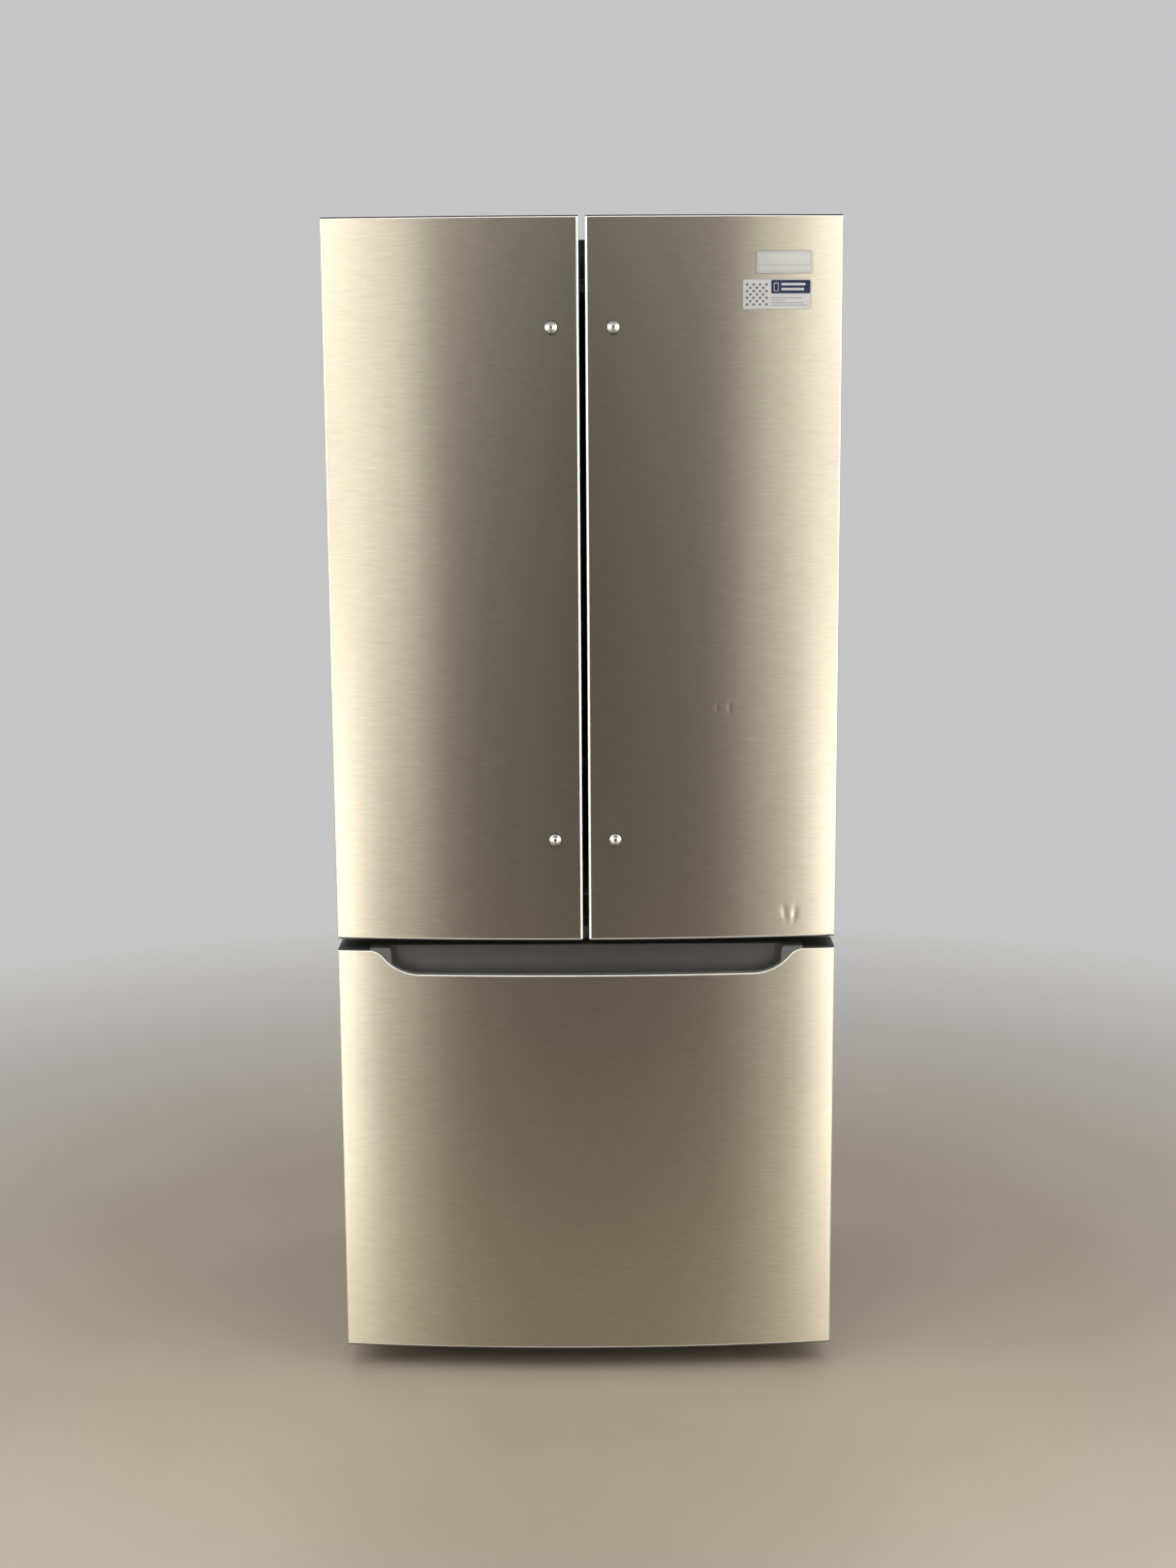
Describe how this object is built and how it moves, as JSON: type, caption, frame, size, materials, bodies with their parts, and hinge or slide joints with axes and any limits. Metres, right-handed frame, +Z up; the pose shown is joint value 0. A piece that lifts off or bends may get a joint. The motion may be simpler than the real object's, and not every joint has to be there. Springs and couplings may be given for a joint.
{
  "type": "french door refrigerator",
  "caption": "Free-standing refrigerator with bowed brushed-steel french doors over a bottom freezer drawer with a finger pocket.",
  "frame": {"origin": "on the floor, under the middle of the overall box", "axes": "+Z up; the doors face -Y; +X to the right seen from the front"},
  "size_m": [0.8, 0.7192, 1.8602],
  "materials": {
    "steel_skin": "satin",
    "chrome": "polished",
    "case_paint": "satin",
    "zinc_steel": "satin",
    "black_paint": "satin",
    "fan_plastic": "matte",
    "foam": "matte",
    "foamed_panel": "satin",
    "liner_plastic": "satin",
    "clear_plastic": "gloss",
    "shelf_glass": "gloss",
    "cap_plastic": "matte",
    "trim_plastic": "matte",
    "gasket_rubber": "matte",
    "rail_paint": "matte",
    "fin_aluminium": "satin"
  },
  "bodies": {
    "cabinet": {"cabinet_case": "case_paint", "cabinet_back_panel": "zinc_steel", "base_pan": "zinc_steel", "insulation": "foam", "fresh_food_liner": "liner_plastic", "freezer_liner": "liner_plastic", "air_duct_cover": "liner_plastic", "control_box": "liner_plastic", "shelf_upper_left": "shelf_glass", "shelf_upper_right": "shelf_glass", "shelf_lower_left": "shelf_glass", "shelf_lower_right": "shelf_glass", "crisper_cover": "clear_plastic", "toe_grille": "cap_plastic", "top_hinge_left": "zinc_steel", "top_hinge_right": "zinc_steel", "hinge_cover_left": "cap_plastic", "hinge_cover_right": "cap_plastic", "center_hinge_rail": "rail_paint", "compressor": "black_paint", "condenser": "fin_aluminium", "evaporator": "fin_aluminium", "evaporator_cover": "liner_plastic", "machine_cover": "zinc_steel"},
    "left_door": {"left_door_skin": "steel_skin", "left_door_panel": "foamed_panel", "left_door_gasket": "gasket_rubber", "left_handle_stud_upper": "chrome", "left_handle_stud_lower": "chrome", "left_bin_bottom": "clear_plastic", "left_bin_middle": "clear_plastic", "left_bin_top": "clear_plastic"},
    "right_door": {"right_door_skin": "steel_skin", "right_door_panel": "foamed_panel", "right_door_gasket": "gasket_rubber", "right_handle_stud_upper": "chrome", "right_handle_stud_lower": "chrome", "right_bin_bottom": "clear_plastic", "right_bin_middle": "clear_plastic", "right_bin_top": "clear_plastic"},
    "mullion": {"mullion_bar": "trim_plastic"},
    "drawer": {"drawer_skin": "steel_skin", "drawer_panel": "foamed_panel", "drawer_handle_trim": "trim_plastic", "drawer_gasket": "gasket_rubber", "drawer_frame": "zinc_steel", "lower_basket": "clear_plastic"},
    "upper_basket": {"upper_basket": "clear_plastic"},
    "slide_left": {"slide_left": "zinc_steel"},
    "crisper_left": {"crisper_left": "clear_plastic"},
    "humidity_slider_left": {"humidity_slider_left": "cap_plastic"},
    "levelling_leg_left": {"levelling_leg_left": "zinc_steel"},
    "rear_roller_left": {"rear_roller_left": "fan_plastic"},
    "slide_right": {"slide_right": "zinc_steel"},
    "crisper_right": {"crisper_right": "clear_plastic"},
    "humidity_slider_right": {"humidity_slider_right": "cap_plastic"},
    "levelling_leg_right": {"levelling_leg_right": "zinc_steel"},
    "rear_roller_right": {"rear_roller_right": "fan_plastic"},
    "condenser_fan": {"condenser_fan": "fan_plastic"},
    "evaporator_fan": {"evaporator_fan": "fan_plastic"}
  },
  "joints": [
    {"name": "left_door_hinge", "type": "hinge", "parent": "cabinet", "child": "left_door", "pos_m": [-0.386, -0.293, 1.295], "axis": [0, 0, -1], "range_deg": [0, 120]},
    {"name": "right_door_hinge", "type": "hinge", "parent": "cabinet", "child": "right_door", "pos_m": [0.386, -0.293, 1.295], "axis": [0, 0, 1], "range_deg": [0, 120]},
    {"name": "mullion_fold", "type": "hinge", "parent": "left_door", "child": "mullion", "pos_m": [-0.042, -0.241, 1.274], "axis": [0, 0, -1], "range_deg": [0, 90]},
    {"name": "drawer_slide", "type": "slide", "parent": "cabinet", "child": "drawer", "axis": [0, -1, 0], "range_m": [0, 0.4]},
    {"name": "upper_basket_travel", "type": "slide", "parent": "cabinet", "child": "upper_basket", "axis": [0, -1, 0], "range_m": [0, 0.07]},
    {"name": "slide_left_travel", "type": "slide", "parent": "cabinet", "child": "slide_left", "axis": [0, -1, 0], "range_m": [0, 0.2]},
    {"name": "crisper_left_travel", "type": "slide", "parent": "cabinet", "child": "crisper_left", "axis": [0, -1, 0], "range_m": [0, 0.075]},
    {"name": "humidity_slider_left_travel", "type": "slide", "parent": "cabinet", "child": "humidity_slider_left", "axis": [-1, 0, 0], "range_m": [0, 0.055]},
    {"name": "levelling_leg_left_travel", "type": "slide", "parent": "cabinet", "child": "levelling_leg_left", "axis": [0, 0, -1], "range_m": [0, 0.012]},
    {"name": "rear_roller_left_spin", "type": "hinge", "parent": "cabinet", "child": "rear_roller_left", "pos_m": [-0.33, 0.27, 0.02], "axis": [1, 0, 0], "continuous": true},
    {"name": "slide_right_travel", "type": "slide", "parent": "cabinet", "child": "slide_right", "axis": [0, -1, 0], "range_m": [0, 0.2]},
    {"name": "crisper_right_travel", "type": "slide", "parent": "cabinet", "child": "crisper_right", "axis": [0, -1, 0], "range_m": [0, 0.075]},
    {"name": "humidity_slider_right_travel", "type": "slide", "parent": "cabinet", "child": "humidity_slider_right", "axis": [1, 0, 0], "range_m": [0, 0.055]},
    {"name": "levelling_leg_right_travel", "type": "slide", "parent": "cabinet", "child": "levelling_leg_right", "axis": [0, 0, -1], "range_m": [0, 0.012]},
    {"name": "rear_roller_right_spin", "type": "hinge", "parent": "cabinet", "child": "rear_roller_right", "pos_m": [0.33, 0.27, 0.02], "axis": [1, 0, 0], "continuous": true},
    {"name": "condenser_fan_spin", "type": "hinge", "parent": "cabinet", "child": "condenser_fan", "pos_m": [0.009, 0.235, 0.13], "axis": [1, 0, 0], "continuous": true},
    {"name": "evaporator_fan_spin", "type": "hinge", "parent": "cabinet", "child": "evaporator_fan", "pos_m": [0, 0.2155, 0.6], "axis": [0, -1, 0], "continuous": true}
  ],
  "couplings": [
    {"joint": "slide_left_travel", "follows": "drawer_slide", "ratio": 0.5},
    {"joint": "slide_right_travel", "follows": "drawer_slide", "ratio": 0.5}
  ]
}
